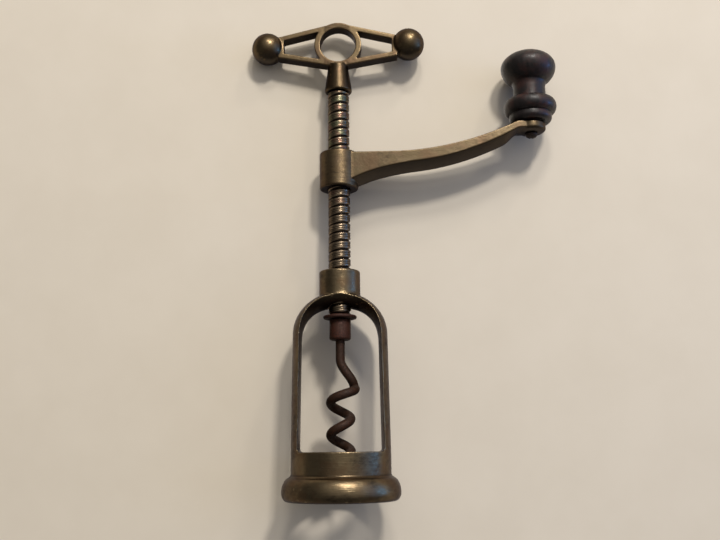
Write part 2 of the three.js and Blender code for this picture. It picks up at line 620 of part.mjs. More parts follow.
function crankKnob() {
  const foot = EYE_TOP + REST_GAP;
  const bore = SCREW_RADIUS + REST_GAP;
  const boreEnd = foot + SCREW_IN_KNOB + REST_GAP;
  const beadMiddle = foot + KNOB_FOOT_HEIGHT + KNOB_BEAD_HEIGHT / 2;
  const beadTop = foot + KNOB_FOOT_HEIGHT + KNOB_BEAD_HEIGHT;
  const neckTop = beadTop + KNOB_NECK_LENGTH;
  const bulb = neckTop + KNOB_BULB_LIFT;
  const beadWidth = KNOB_BEAD_RADIUS - KNOB_FOOT_RADIUS;
  const footEdge = [KNOB_FOOT_RADIUS - KNOB_FOOT_ROUNDING, foot + KNOB_FOOT_ROUNDING];
  const outline = [
    [0, boreEnd],
    [bore, boreEnd],
    [bore, foot],
    ...arc(...footEdge, KNOB_FOOT_ROUNDING, KNOB_FOOT_ROUNDING, -90, 0, ROUNDING_STEPS),
    [KNOB_FOOT_RADIUS, foot + KNOB_FOOT_HEIGHT - EDGE],
    ...arc(KNOB_FOOT_RADIUS, beadMiddle, beadWidth, KNOB_BEAD_HEIGHT / 2, -90, BEAD_END, BEAD_STEPS),
    [KNOB_NECK_RADIUS, beadTop],
    [KNOB_NECK_RADIUS, neckTop],
    ...arc(0, bulb, KNOB_BULB_RADIUS, KNOB_BULB_UNDER_HEIGHT, BULB_START, 0, BULB_STEPS),
    ...arc(0, bulb, KNOB_BULB_RADIUS, KNOB_BULB_TOP_HEIGHT, 0, 90, BULB_STEPS).slice(1),
  ];
  outline[outline.length - 1][0] = 0;
  return named('crank_knob', turned(outline, SMALL_ROUND_STEPS), stainedWood);
}

function knobScrew() {
  const seat = EYE_BOTTOM - REST_GAP;
  const tip = EYE_TOP + REST_GAP + SCREW_IN_KNOB;
  return named('knob_screw', turned([
    [0, seat - SCREW_HEAD_HEIGHT],
    ...arc(0, seat, SCREW_HEAD_RADIUS, SCREW_HEAD_HEIGHT, SCREW_HEAD_START, 0, ROUNDING_STEPS),
    [SCREW_RADIUS, seat],
    [SCREW_RADIUS, tip - 2 * SCREW_RADIUS],
    [0, tip],
  ], SMALL_ROUND_STEPS), rustyIron);
}

const works = new THREE.Group();
works.rotation.z = REST_TURN;
works.add(spindle(), stopWasher(), wormHolder(), worm(), handle(), crank());
const knobParts = new THREE.Group();
knobParts.position.x = CRANK_RADIUS;
knobParts.add(crankKnob(), knobScrew());
works.add(knobParts);

// The whole stands with the middle of its box over the origin, so its axis lies to one side
const knobReach = CRANK_RADIUS * Math.cos(REST_TURN) + KNOB_BULB_RADIUS;
const ballReach = HANDLE_REACH * Math.cos(REST_TURN) + BALL_RADIUS;
const corkscrew = new THREE.Group();
corkscrew.position.x = (ballReach - knobReach) / 2;
corkscrew.add(frameCage(), works);

export default corkscrew;
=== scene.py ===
import json
import math

import bmesh
import bpy
from mathutils import Matrix, Vector


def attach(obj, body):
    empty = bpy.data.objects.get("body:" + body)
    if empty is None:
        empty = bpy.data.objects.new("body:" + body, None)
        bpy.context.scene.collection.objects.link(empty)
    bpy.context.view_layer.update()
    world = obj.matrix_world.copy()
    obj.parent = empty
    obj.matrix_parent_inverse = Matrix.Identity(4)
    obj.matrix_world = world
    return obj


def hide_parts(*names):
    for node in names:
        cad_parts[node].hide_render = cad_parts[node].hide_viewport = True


# An old screw-lift corkscrew: one fine piece for each CAD node, on a pale table top under soft lamps
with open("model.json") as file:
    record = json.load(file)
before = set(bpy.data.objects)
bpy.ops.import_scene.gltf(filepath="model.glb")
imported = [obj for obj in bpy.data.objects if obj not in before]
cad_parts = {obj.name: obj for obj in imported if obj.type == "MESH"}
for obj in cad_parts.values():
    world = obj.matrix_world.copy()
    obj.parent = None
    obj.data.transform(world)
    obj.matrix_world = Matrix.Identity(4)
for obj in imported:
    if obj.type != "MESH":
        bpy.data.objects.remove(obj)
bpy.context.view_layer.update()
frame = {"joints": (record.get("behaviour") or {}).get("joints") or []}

# Shapes are built in millimetres about the spindle's axis, and placed by the frame's own joints
MM = 0.001
joints = {joint["name"]: joint for joint in frame["joints"]}
AXIS = Vector(joints["crank_turn"]["pos_m"]).xy
KNOB_AXIS = Vector(joints["knob_spin"]["pos_m"]).xy
REST_TURN = math.atan2((KNOB_AXIS - AXIS).y, (KNOB_AXIS - AXIS).x)
CRANK_RADIUS = (KNOB_AXIS - AXIS).length / MM

# Cage
RING_RADIUS = 17
BORE_RADIUS = 15
RING_TOP = 16.2
FLARE_RADIUS = 20.2
FLARE_WIDEST = 2.8
FLARE_TOP = 7.9
FOOT_FLAT_RADIUS = 18
FOOT_CHAMFER = 0.6
FOOT_STEP = 0.3
FOOT_LINE = 0.25
SEAT_RADIUS = 13
SEAT_HEIGHT = 12
SHOULDER_RADIUS = 16.45
SHOULDER_START = 56
SHOULDER_RISE = 15.1
SHOULDER_FILLET = 1.5
COLLAR_RADIUS = 7.2
COLLAR_TOP = 78.5
WINDOW_HALF_WIDTH = 13.85
WINDOW_DRAFT = 0.5
WINDOW_SPRING = 53
WINDOW_RISE = 12.4
WINDOW_ROUNDNESS = 2.4
WINDOW_CORNER = 1
WINDOW_STEPS = 48
WINDOW_STATIONS = 38
ROOF_ROUND = 6.9
BAR_ROUND = 62
BREAK = 0.4

# Spindle, washer, worm holder and worm
SPINDLE_RADIUS = 3.95
THREAD_LEAD = 3.22
THREAD_DEPTH = 0.6
THREAD_SIDES = 72
THREAD_ROWS = 22
STUB_RADIUS = 2.4
STUB_IN_HOLDER = 3.4
CLEARANCE = 0.3
HOLDER_RADIUS = 3.75
HOLDER_BOTTOM = 54.1
HOLDER_TOP = 61.3
HOLDER_ROUNDING = 0.9
HOLDER_BREAK = 0.25
HOLDER_POCKET = 3.7
WASHER_RADIUS = 5.85
WASHER_FLAT = 0.4
WASHER_THICKNESS = 1.5
WASHER_RIM = 0.8
WASHER_EDGE = 1.1
WIRE_RADIUS = 1.6
WIRE_SIDES = 20
WORM_RADIUS = 3.45
WORM_FIRST_RADIUS = 5.05
WORM_PITCH = 10.9
WORM_START = 37.2
WORM_FIRST_DROP = 4.6
WORM_SWING = 8
WORM_BEND_TOP = 47.5
WORM_TIP = 6.5
WORM_STEPS = 200
TIP_LENGTH = 9
TIP_RADIUS = 0.18
SHANK_TOP = 57.3

# The thread's profile: places and widths as shares of its pitch, cuts as shares of its depth
GROOVE_PLACE = 0.85
GROOVE_HALF_WIDTH = 0.15
GROOVE_FLANK = 0.1
LAND_BARREL = 0.2
CREST_FROM_GROOVE = 0.42
CREST_DEPTH = 0.16
CREST_WIDTH = 0.09

# Handle
SOCKET_BOTTOM = 145.6
SOCKET_TOP = 156.2
SOCKET_MOUTH_RADIUS = 5
SOCKET_TOP_RADIUS = 3.75
SOCKET_WAIST = ((0.12, 0.07), (0.3, 0.24), (0.5, 0.5), (0.8, 0.86))  # share of its height, share of its taper
STUB_IN_SOCKET = 8
EYELET_HEIGHT = 163.8
EYELET_HOLE_RADIUS = 6.6
EYELET_RADIUS = 8.7
EYELET_STEPS = 144
HANDLE_DEPTH = 5
HANDLE_REACH = 26.1
BALL_RADIUS = 5.9
BALL_HEIGHTS = (163.4, 164.3)
BAR_THICKNESS = 1.85
BAR_END = 22
BAR_TOP_DROP = 5.4
BAR_BOTTOM_RISE = 4
WINDOW_END = 20

# Crank
HUB_RADIUS = 6.95
HUB_BOTTOM = 108.5
HUB_TOP = 122
ARM_START = 3
ARM_STATIONS = 80
ARM_HALF_DEPTH = 5.3
ARM_END_HALF_DEPTH = 4.7
ARM_THICKNESS = 4.3
ARM_END_THICKNESS = 2.5
ARM_ROOT_THICKNESS = 10.1
ARM_GUSSET = 24
ARM_FLAT_END = 18.5
ARM_TOP_DROP = 0.8
ARM_END_DROP = 0.1
ARM_BELLY = 2.7
ARM_END_BELLY = 0.9
BELLY_POWER = 1.3
BELLY_STEPS = 8
EYE_RADIUS = 5.2
EYE_BOTTOM = 128.5
EYE_TOP = 132.1
EYE_RIM = 2.2

# Knob and its screw
KNOB_FOOT_RADIUS = 7.65
KNOB_FOOT_HEIGHT = 3.2
KNOB_FOOT_ROUNDING = 1.7
KNOB_FOOT_EDGE_WIDTH = 0.5
KNOB_FOOT_EDGE_HEIGHT = 0.6
KNOB_BEAD_RADIUS = 9.5
KNOB_BEAD_HEIGHT = 5.6
KNOB_BEAD_OVERLAP = 0.2
KNOB_NECK_RADIUS = 5.85
KNOB_NECK_HEIGHT = 12.7
KNOB_NECK_FILLET = 1.1
KNOB_NECK_FILLET_RISE = 0.9
KNOB_NECK_PLAIN_DROP = 1
KNOB_FLARE_WIDTH = 3
KNOB_FLARE_HEIGHT = 4.2
KNOB_FLARE_RISE = 0.6
KNOB_BULB_RADIUS = 9.95
KNOB_BULB_TOP_HEIGHT = 6.2
KNOB_BULB_UNDER_HEIGHT = 7.8
KNOB_BULB_HEIGHT = 21.4
SCREW_RADIUS = 1.5
SCREW_HEAD_RADIUS = 2.3
SCREW_HEAD_HEIGHT = 1.5
SCREW_IN_KNOB = 14
SCREW_POINT = 3
SCREW_SLOT_WIDTH = 0.6
SCREW_SLOT_FLOOR = 0.55  # share of the head's height above the slot's floor

# Facets of the fine pieces, how far a cutter passes what it cuts, and how near points count as one
ROUND_STEPS = 160
SMALL_STEPS = 96
SCREW_STEPS = 48
CUT_PAST = 2
MERGE_DISTANCE = 1e-4
FULL_TURN = 2 * math.pi

# Castings: the voxel and the smoothing passes that round their edges
VOXEL = 0.26
CAGE_CAST = (VOXEL, 6)
CRANK_CAST = (VOXEL * 0.75, 5)
HANDLE_CAST = (VOXEL * 0.85, 3)

# Places of the colour sockets among a mix node's inputs and outputs
MIX_COLOURS = (6, 7)
MIX_RESULT = 2

# Levels: of noise, of how sharply the shape stands out (0.5 is flat), and of how far up a face looks, for the
# painted shade on faces that look down
CLOUD_LEVELS = (0.36, 0.64)
SPECK_LEVELS = (0.4, 0.66)
TINT_LEVELS = (0.46, 0.62)
GRAIN_LEVELS = (0.35, 0.65)
RUST_LEVELS = (0.36, 0.62)
RUB_LEVELS = (0.35, 0.6)
CREASE_LEVELS = (0.5, 0.47)
EDGE_LEVELS = (0.505, 0.535)
UNDERSIDE_LEVELS = (-0.5, -0.85)

# Old metal: sizes and depths in millimetres, the rest as shares
CLOUD_SIZE = 9
CLOUD_DISTORTION = 0.6
SPECK_SIZE = 0.9
SPECK_STRETCH = (0.4, 0.4, 1)
EVERYWHERE = -10  # a height below the tool, for tints without a lower end
ALL_LATHED = 30  # a radius outside the tool
TINT_STRENGTH = 0.6
TINT_RISE = 6
RUB_SIZE = 2.5
LEAST_RUB = 0.35
# Painted shade on faces that look down: its share of the patina's own colour, and of the patina's grey
UNDERSIDE_SHADE_OWN = 0.7
UNDERSIDE_SHADE_GREY = 0.6
PATINA_ROUGHNESS = 0.16
RIM_TINT = (0.55, 0.55, 0.6, 1)
LATHED_BLEND = 0.6
MARK_SIZE = 0.22
MARK_STRETCH = (0.03, 0.03, 1)
MARK_DEPTH = 0.045
METAL_BUMPS = ((3.5, 3, 0.05), (1.2, 4, 0.03), (0.5, 5, 0.02))  # size, detail and depth of each layer

# Rust and wood
RUST_PATCH_SIZE = 2.6
RUST_DISTORTION = 0.8
RUST_GRAIN_SIZE = 0.5
RUST_PIT_SIZES = (1.4, 0.3)
RUST_ROUGHNESS = (0.5, 0.8)
WOOD_GRAIN_SIZE = 1.2
WOOD_GRAIN_STRETCH = (1, 1, 0.12)
WOOD_GRAIN_DEPTH = 0.03
WOOD_RUB_SIZE = 6
WOOD_DISTORTION = 0.5
WOOD_DENT_SIZE = 4
WOOD_DENT_DEPTH = 0.12
WOOD_ROUGHNESS = (0.36, 0.52)

# Camera: the lens and the place that show the cage's ring and the spindle as the photograph does
PHOTO_WIDTH = 720
SENSOR_WIDTH = 36
FOCAL_PIXELS = 880
CAMERA_DISTANCE = 0.3044
CAMERA_HEIGHT = 0.0162
CAMERA_PAN = math.radians(1.353)
CAMERA_TILT = math.radians(11.66)
CAMERA_ROLL = math.radians(-0.699)
CAMERA_NEAR = 0.01

# The sheet: half its side in metres, its two tones, and the size of its mottling in millimetres
SHEET_REACH = 1.2
SHEET_TONES = ((0.665, 0.602, 0.505), (0.685, 0.622, 0.525))
SHEET_MOTTLE = 25

# Soft lamps, all turned to the tool's middle: name, place, size, power, colour
LAMP_TARGET = (0, 0, 0.09)
LAMPS = (
    ("key", (0.234, -0.835, 0.7), 0.13, 6.3, (1, 0.95, 0.88)),
    ("second", (0.03, -0.75, 0.84), 0.15, 2.6, (1, 0.95, 0.88)),
    ("glint", (0.38, -0.54, 0.92), 0.1, 1.2, (1, 0.93, 0.84)),
    ("cool_panel", (0.7, -0.25, 0.2), 0.8, 1.5, (0.25, 0.46, 1)),
    ("cool_glint", (0.85, -0.12, 0.12), 0.15, 0.8, (0.12, 0.38, 1)),
    ("behind", (-0.2, 0.8, 0.5), 0.6, 2.5, (1, 0.97, 0.93)),
)

# The room: its colour, its bright side, how near that side brightness starts, its strength elsewhere and there
ROOM_COLOUR = (0.95, 0.91, 0.86, 1)
ROOM_BRIGHT_SIDE = (0.25, -0.8, 0.54)
ROOM_EDGE = 0.45
ROOM_STRENGTHS = (0.16, 0.9)


def mix(low, high, share):
    return low + (high - low) * share


def clamp(value):
    return min(1, max(0, value))


def smooth(share):
    share = clamp(share)
    return share * share * (3 - 2 * share)


def arc(middle, low, width, height, start, end, steps):
    """Points of an arc of an ellipse, angles in degrees from the side (0) to the top (90)."""
    angles = [math.radians(mix(start, end, step / steps)) for step in range(steps + 1)]
    return [(middle + width * math.cos(a), low + height * math.sin(a)) for a in angles]


def piece(name, points, faces):
    """A mesh object about the spindle's axis, in millimetres, with shared points merged."""
    mesh = bpy.data.meshes.new(name)
    mesh.from_pydata([tuple(point) for point in points], [], faces)
    welded = bmesh.new()
    welded.from_mesh(mesh)
    bmesh.ops.remove_doubles(welded, verts=welded.verts, dist=MERGE_DISTANCE)
    bmesh.ops.recalc_face_normals(welded, faces=welded.faces)
    welded.to_mesh(mesh)
    welded.free()
    made = bpy.data.objects.new(name, mesh)
    bpy.context.scene.collection.objects.link(made)
    return made


def lathe(name, outline, steps, centre=0):
    """A turned body about an upright axis at `centre` along X. An open outline runs from axis to axis."""
    count = len(outline)
    closed = outline[0][0] > 0
    points = []
    for step in range(steps):
        angle = FULL_TURN * step / steps
        points += [(centre + r * math.cos(angle), r * math.sin(angle), z) for r, z in outline]
    faces = []
    for step in range(steps):
        here = step * count
        there = (step + 1) % steps * count
        for row in range(count if closed else count - 1):
            after = (row + 1) % count
            faces.append((here + row, there + row, there + after, here + after))
    return piece(name, points, faces)


def loft(name, rings):
    """Rings of as many points each, skinned, with a cap on each end."""
    count = len(rings[0])
    points = [point for ring in rings for point in ring]
    faces = []
    for ring in range(len(rings) - 1):
        for side in range(count):
            after = (side + 1) % count
            low = ring * count
            faces.append((low + side, low + after, low + count + after, low + count + side))
    faces.append(tuple(reversed(range(count))))
    faces.append(tuple(range(len(points) - count, len(points))))
    return piece(name, points, faces)


def bore(name, radius, low, high, centre=0):
    """A cutter for a hole up to `high`, from below `low`."""
    low -= CUT_PAST
    return lathe(name, [(0, low), (radius, low), (radius, high), (0, high)], SMALL_STEPS, centre)


def prism(name, outline, depth):
    """A flat outline in X and Z, given depth along Y about the middle plane."""
    return loft(name, [[(x, y, z) for x, z in outline] for y in (-depth / 2, depth / 2)])


def applied(target):
    """Makes the target's modifiers part of its mesh."""
    graph = bpy.context.evaluated_depsgraph_get()
    old = target.data
    target.data = bpy.data.meshes.new_from_object(target.evaluated_get(graph))
    target.modifiers.clear()
    bpy.data.meshes.remove(old)


def joined(target, operation, *others):
    """Joins to or cuts from the target, in turn, each of the others, which are used up."""
    for other in others:
        step = target.modifiers.new("step", "BOOLEAN")
        step.operation = operation
        step.solver = "EXACT"
        step.object = other
        applied(target)
        bpy.data.objects.remove(other)
    return target


def softened(target, voxel, passes):
    """Rounds the edges of a casting, as use and polish do."""
    remesh = target.modifiers.new("cast", "REMESH")
    remesh.mode = "VOXEL"
    remesh.voxel_size = voxel
    relax = target.modifiers.new("worn", "SMOOTH")
    relax.factor = 0.5
    relax.iterations = passes
    applied(target)
    return target


def finished(target, body, node, material, turned=True):
    """Brings a piece into the frame in metres, in place of its CAD node."""
    turn = Matrix.Rotation(REST_TURN if turned else 0, 4, "Z")
    target.data.transform(Matrix.Translation((AXIS.x, AXIS.y, 0)) @ turn @ Matrix.Scale(MM, 4))
    target.data.polygons.foreach_set("use_smooth", [True] * len(target.data.polygons))
    target.data.materials.clear()
    target.data.materials.append(material)
    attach(target, body)
    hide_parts(node)


class Nodes:
    """A short way to write a material's nodes."""

    def __init__(self, name):
        self.material = bpy.data.materials.new(name)
        self.material.use_nodes = True
        self.tree = self.material.node_tree
        self.shader = self.tree.nodes["Principled BSDF"]
        self.place = self.add("ShaderNodeTexCoord").outputs["Object"]

    def add(self, kind, **settings):
        node = self.tree.nodes.new(kind)
        for key, value in settings.items():
            setattr(node, key, value)
        return node

    def link(self, source, target):
        self.tree.links.new(source, target)

    def noise(self, size, detail=4, stretch=(1, 1, 1), distortion=0):
        """Noise whose features are about `size` millimetres."""
        mapping = self.add("ShaderNodeMapping")
        mapping.inputs["Scale"].default_value = stretch
        self.link(self.place, mapping.inputs["Vector"])
        node = self.add("ShaderNodeTexNoise")
        node.inputs["Scale"].default_value = 1 / (size * MM)
        node.inputs["Detail"].default_value = detail
        node.inputs["Roughness"].default_value = 0.6
        node.inputs["Distortion"].default_value = distortion
        self.link(mapping.outputs["Vector"], node.inputs["Vector"])
        return node.outputs["Fac"]

    def ramp(self, source, low, high, start=0.0, end=1.0):
        node = self.add("ShaderNodeMapRange")
        node.inputs["From Min"].default_value = low
        node.inputs["From Max"].default_value = high
        node.inputs["To Min"].default_value = start
        node.inputs["To Max"].default_value = end
        self.link(source, node.inputs["Value"])
        return node.outputs["Result"]

    def colours(self, share, first, second):
        """Mixes two colours, or two sockets, by a share."""
        node = self.add("ShaderNodeMix", data_type="RGBA")
        self.link(share, node.inputs["Factor"])
        for value, place in zip((first, second), MIX_COLOURS):
            if isinstance(value, tuple):
                node.inputs[place].default_value = (*value, 1)
            else:
                self.link(value, node.inputs[place])
        return node.outputs[MIX_RESULT]

    def product(self, first, second):
        node = self.add("ShaderNodeMath", operation="MULTIPLY")
        self.link(first, node.inputs[0])
        self.link(second, node.inputs[1])
        return node.outputs[0]

    def upright(self, source, low, high):
        """0 where the upright part of a place or a direction is `low`, 1 where it is `high`."""
        split = self.add("ShaderNodeSeparateXYZ")
        self.link(source, split.inputs[0])
        return self.ramp(split.outputs["Z"], low, high)

    def near_axis(self, radius):
        """1 within `radius` millimetres of the spindle's axis, 0 outside."""
        flat = self.add("ShaderNodeMapping")
        flat.inputs["Location"].default_value = (-AXIS.x, -AXIS.y, 0)
        flat.inputs["Scale"].default_value = (1, 1, 0)
        self.link(self.place, flat.inputs["Vector"])
        length = self.add("ShaderNodeVectorMath", operation="LENGTH")
        self.link(flat.outputs["Vector"], length.inputs[0])
        return self.ramp(length.outputs["Value"], (radius + LATHED_BLEND) * MM, radius * MM)

    def edges(self, low, high):
        """How sharply the surface stands out, from its own shape."""
        return self.ramp(self.add("ShaderNodeNewGeometry").outputs["Pointiness"], low, high)

    def bump(self, heights):
        """Bumps one on the other: pairs of a height and its depth in millimetres."""
        normal = None
        for height, depth in heights:
            node = self.add("ShaderNodeBump")
            node.inputs["Distance"].default_value = depth * MM
            self.link(height, node.inputs["Height"])
            if normal:
                self.link(normal, node.inputs["Normal"])
            normal = node.outputs["Normal"]
        self.link(normal, self.shader.inputs["Normal"])


def old_metal(name, cast, lathed, dark, edge, gloss, radius, tints_and_reflections=(), blotch=0.0):
    """Aged brass or bronze: metal under an uneven dark patina, another tone where its edges are rubbed, and
    painted shade on faces that look down.

    Within `radius` millimetres of the spindle's axis it is `lathed`, with fine marks round it, and outside it
    is `cast`. Each of `tints_and_reflections` says the size of its spots, the height where they begin and their
    colour: on the brass they are tints of its patina, and on the spindle they are painted reflections.
    `blotch` is the least share of patina within its clouds.
    """
    nodes = Nodes(name)
    clouds = nodes.ramp(nodes.noise(CLOUD_SIZE, detail=5, distortion=CLOUD_DISTORTION), *CLOUD_LEVELS)
    specks = nodes.ramp(nodes.noise(SPECK_SIZE, detail=6, stretch=SPECK_STRETCH), *SPECK_LEVELS, start=blotch)
    patina = nodes.product(clouds, specks)
    turned = nodes.near_axis(radius)
    surface = nodes.colours(patina, nodes.colours(turned, cast, lathed), dark)
    # Spots of another colour from a given height up: tints of the patina on the brass, and painted red and
    # green reflections on the spindle
    for size, low, spot_colour in tints_and_reflections:
        spots = nodes.ramp(nodes.noise(size, detail=3), *TINT_LEVELS, end=TINT_STRENGTH)
        height = nodes.upright(nodes.place, low * MM, (low + TINT_RISE) * MM)
        surface = nodes.colours(nodes.product(spots, height), surface, spot_colour)
    surface = nodes.colours(nodes.edges(*CREASE_LEVELS), surface, dark)
    # Painted shade: faces that look down are darkened towards the patina's grey
    facing = nodes.add("ShaderNodeTexCoord").outputs["Normal"]
    underside_shade = tuple(UNDERSIDE_SHADE_OWN * part + UNDERSIDE_SHADE_GREY * sum(dark) / 3 for part in dark)
    surface = nodes.colours(nodes.upright(facing, *UNDERSIDE_LEVELS), surface, underside_shade)
    rubbing = nodes.ramp(nodes.noise(RUB_SIZE), *RUB_LEVELS, start=LEAST_RUB)
    surface = nodes.colours(nodes.product(nodes.edges(*EDGE_LEVELS), rubbing), surface, edge)
    nodes.link(surface, nodes.shader.inputs["Base Color"])
    nodes.link(nodes.ramp(patina, 0, 1, gloss, gloss + PATINA_ROUGHNESS), nodes.shader.inputs["Roughness"])
    nodes.shader.inputs["Metallic"].default_value = 1
    nodes.shader.inputs["Specular Tint"].default_value = RIM_TINT
    marks = nodes.product(nodes.noise(MARK_SIZE, detail=2, stretch=MARK_STRETCH), turned)
    heights = [(nodes.noise(size, detail=detail), depth) for size, detail, depth in METAL_BUMPS]
    nodes.bump([*heights, (marks, MARK_DEPTH)])
    return nodes.material


def rusty_iron(name, red, brown, dark, depth):
    """Iron under a dull rust, red or brown in patches, with darker grains. `depth` is that of its pits."""
    nodes = Nodes(name)
    patches = nodes.ramp(nodes.noise(RUST_PATCH_SIZE, detail=6, distortion=RUST_DISTORTION), *RUST_LEVELS)
    grains = nodes.ramp(nodes.noise(RUST_GRAIN_SIZE, detail=6), *GRAIN_LEVELS)
    surface = nodes.colours(patches, brown, red)
    surface = nodes.colours(nodes.product(grains, patches), surface, dark)
    nodes.link(surface, nodes.shader.inputs["Base Color"])
    nodes.link(nodes.ramp(grains, 0, 1, *RUST_ROUGHNESS), nodes.shader.inputs["Roughness"])
    nodes.shader.inputs["Metallic"].default_value = 0.2
    nodes.shader.inputs["Specular IOR Level"].default_value = 0.3
    pits, fine_pits = [nodes.noise(size) for size in RUST_PIT_SIZES]
    nodes.bump([(pits, depth), (fine_pits, depth / 3)])
    return nodes.material


def turned_wood(name, dark, light, worn):
    """Dark polished wood: upright grain, `worn` in patches where hands rub it, under an old varnish."""
    nodes = Nodes(name)
    grain = nodes.ramp(nodes.noise(WOOD_GRAIN_SIZE, detail=6, stretch=WOOD_GRAIN_STRETCH), *GRAIN_LEVELS)
    rubbing = nodes.ramp(nodes.noise(WOOD_RUB_SIZE, detail=5, distortion=WOOD_DISTORTION), *TINT_LEVELS)
    surface = nodes.colours(rubbing, nodes.colours(grain, dark, light), worn)
    nodes.link(surface, nodes.shader.inputs["Base Color"])
    nodes.link(nodes.ramp(grain, 0, 1, *WOOD_ROUGHNESS), nodes.shader.inputs["Roughness"])
    nodes.shader.inputs["Specular IOR Level"].default_value = 0.3
    nodes.shader.inputs["Coat Weight"].default_value = 0.06
    nodes.shader.inputs["Coat Roughness"].default_value = 0.2
    nodes.bump([(grain, WOOD_GRAIN_DEPTH), (nodes.noise(WOOD_DENT_SIZE), WOOD_DENT_DEPTH)])
    return nodes.material


def window_outline(depth):
    """The cage's window in the upright plane at `depth` from the cage's middle."""
    sill = WINDOW_HALF_WIDTH + depth**2 / (2 * BAR_ROUND)
    spring = sill - WINDOW_DRAFT
    rise = WINDOW_RISE + depth**2 / (2 * ROOF_ROUND)
    power = 2 / WINDOW_ROUNDNESS
    half = []
    for step in range(WINDOW_STEPS + 1):
        angle = math.pi / 2 * step / WINDOW_STEPS
        height = WINDOW_SPRING + rise * max(0, math.cos(angle)) ** power
        half.append((spring * math.sin(angle) ** power, height))
    corner = WINDOW_CORNER
    half += arc(sill - corner, RING_TOP + corner, corner, corner, 0, -90, steps=6)
    outline = half + [(-across, height) for across, height in reversed(half[1:])]
    return [(across, depth, height) for across, height in outline]


def frame_cage():
    """The cage: a turned body from foot to collar, with one window cut through it from front to back."""
    foot = arc(FOOT_FLAT_RADIUS, FLARE_WIDEST, FLARE_RADIUS - FOOT_FLAT_RADIUS, FLARE_WIDEST, -90, 0, steps=12)
    start = RING_RADIUS + FOOT_STEP
    swell = arc(start, FLARE_WIDEST, FLARE_RADIUS - start, FLARE_TOP - FLARE_WIDEST, 0, 90, steps=20)[1:]
    fillet = COLLAR_RADIUS + SHOULDER_FILLET
    end = math.degrees(math.acos(fillet / SHOULDER_RADIUS))
    shoulder = arc(0, SHOULDER_START, SHOULDER_RADIUS, SHOULDER_RISE, 0, end, steps=40)
    top = shoulder[-1][1] + SHOULDER_FILLET
    collar_bore = SPINDLE_RADIUS + CLEARANCE
    outline = [
        (BORE_RADIUS + FOOT_CHAMFER, 0),
        *foot,
        *swell,
        (start + FOOT_LINE, FLARE_TOP),
        (start + FOOT_LINE, FLARE_TOP + FOOT_LINE),
        (RING_RADIUS, FLARE_TOP + FOOT_LINE + FOOT_STEP),
        (RING_RADIUS, RING_TOP),
        *shoulder,
        *arc(fillet, top, SHOULDER_FILLET, SHOULDER_FILLET, 250, 180, steps=8),
        (COLLAR_RADIUS, COLLAR_TOP - BREAK),
        (COLLAR_RADIUS - BREAK, COLLAR_TOP),
        (collar_bore + BREAK, COLLAR_TOP),
        (collar_bore, COLLAR_TOP - BREAK),
        (collar_bore, WINDOW_SPRING),
        (SEAT_RADIUS, WINDOW_SPRING),
        (SEAT_RADIUS, SEAT_HEIGHT),
        (BORE_RADIUS, SEAT_HEIGHT),
        (BORE_RADIUS, FOOT_CHAMFER),
    ]
    cage = lathe("cage_casting", outline, ROUND_STEPS)
    reach = RING_RADIUS + CUT_PAST
    depths = [mix(-reach, reach, station / WINDOW_STATIONS) for station in range(WINDOW_STATIONS + 1)]
    joined(cage, "DIFFERENCE", loft("window", [window_outline(depth) for depth in depths]))
    return softened(cage, *CAGE_CAST)


def thread_cut(phase):
    """Share of the thread's depth cut at a place in its pitch: a round land with a worn line, or a groove."""
    from_groove = abs(phase - GROOVE_PLACE)
    from_groove = min(from_groove, 1 - from_groove)
    groove = smooth((GROOVE_HALF_WIDTH - from_groove) / GROOVE_FLANK)
    barrel = LAND_BARREL * (1 - 2 * from_groove) ** 2
    crest = CREST_DEPTH * smooth(1 - abs(from_groove - CREST_FROM_GROOVE) / CREST_WIDTH)
    return max(groove, barrel + crest)


def spindle_ring(height, radii):
    """A ring round the spindle's axis with a radius of its own for each side."""
    angles = [FULL_TURN * side / THREAD_SIDES for side in range(THREAD_SIDES)]
    return [(r * math.cos(angle), r * math.sin(angle), height) for r, angle in zip(radii, angles)]


def spindle():
    """The threaded shaft, with a plain stub at each end and broken edges where the thread ends."""
    low = HOLDER_TOP + WASHER_THICKNESS + 2 * CLEARANCE
    high = SOCKET_BOTTOM - CLEARANCE
    stub = [STUB_RADIUS] * THREAD_SIDES
    rows = int((high - low) / THREAD_LEAD * THREAD_ROWS)
    rings = [spindle_ring(HOLDER_TOP - STUB_IN_HOLDER, stub), spindle_ring(low, stub)]
    for row in range(rows + 1):
        height = mix(low, high, row / rows)
        broken = SPINDLE_RADIUS - BREAK + min(height - low, high - height)
        phases = [(height / THREAD_LEAD - side / THREAD_SIDES) % 1 for side in range(THREAD_SIDES)]
        radii = [min(SPINDLE_RADIUS - THREAD_DEPTH * thread_cut(phase), broken) for phase in phases]
        rings.append(spindle_ring(height, radii))
    rings += [spindle_ring(high, stub), spindle_ring(SOCKET_BOTTOM + STUB_IN_SOCKET, stub)]
    return loft("threaded_spindle", rings)


def stop_washer():
    """A thin washer on the stub, flat below, with a rounded rim and a top that slopes down to it."""
    low = HOLDER_TOP + CLEARANCE
    hole = STUB_RADIUS + CLEARANCE
    across, high = WASHER_RIM / 2, WASHER_EDGE / 2
    outline = [
        (hole, low),
        (HOLDER_RADIUS + WASHER_FLAT, low),
        *arc(WASHER_RADIUS - across, low + high, across, high, -60, 60, steps=8),
        (HOLDER_RADIUS, low + WASHER_THICKNESS),
        (hole, low + WASHER_THICKNESS),
    ]
    return lathe("washer_under_arch", outline, SMALL_STEPS)


